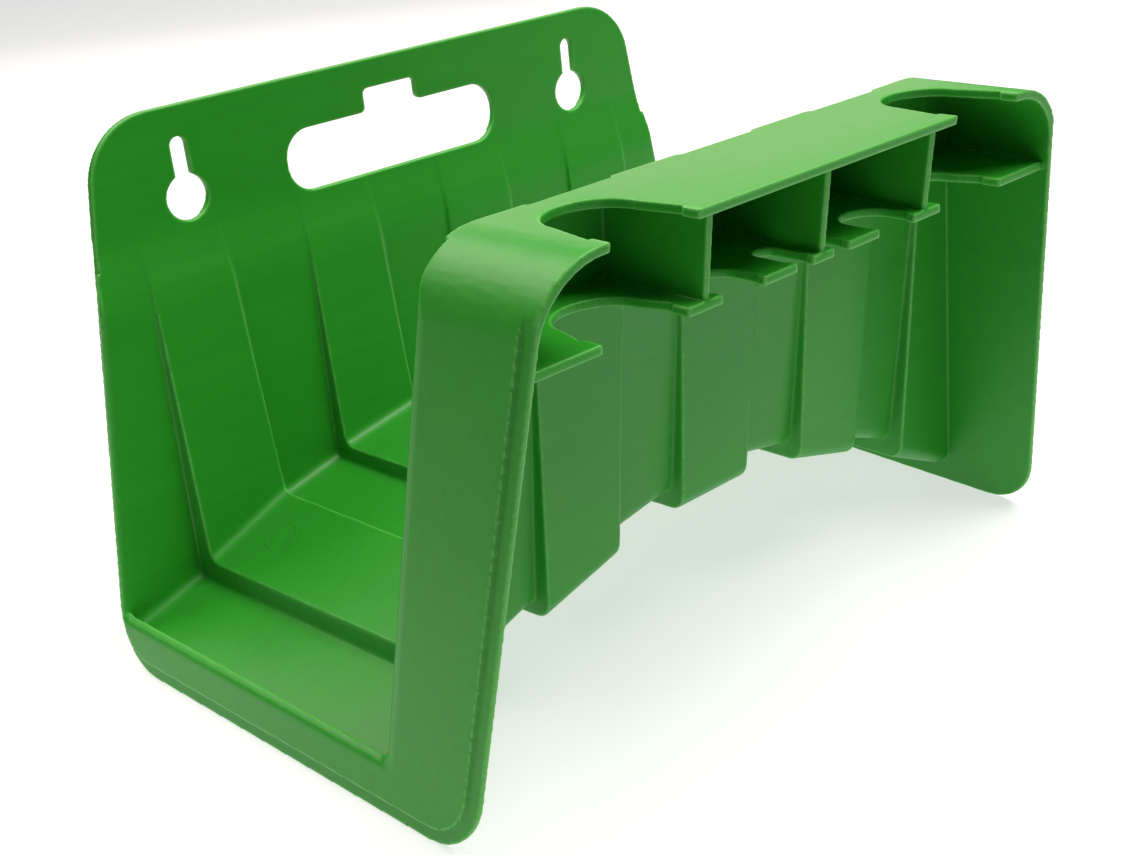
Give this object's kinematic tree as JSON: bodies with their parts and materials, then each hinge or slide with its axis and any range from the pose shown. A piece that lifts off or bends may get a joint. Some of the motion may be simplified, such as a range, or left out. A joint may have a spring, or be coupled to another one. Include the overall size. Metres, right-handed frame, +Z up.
{
  "type": "garden hose hanger",
  "caption": "Wall-mounted garden hose hanger: a moulded saddle trough with end flanges, keyhole back plate, hand slot and clip shelves for fittings.",
  "frame": {"origin": "middle of the overall footprint, on the plane of the flanges' standing edges", "axes": "+X along the wall to the viewer's right, the front faces -Y, the wall is on the +Y side, +Z up"},
  "size_m": [0.307, 0.219, 0.192],
  "materials": {
    "body": "satin"
  },
  "bodies": {
    "root": {"hanger": "body"}
  },
  "joints": []
}
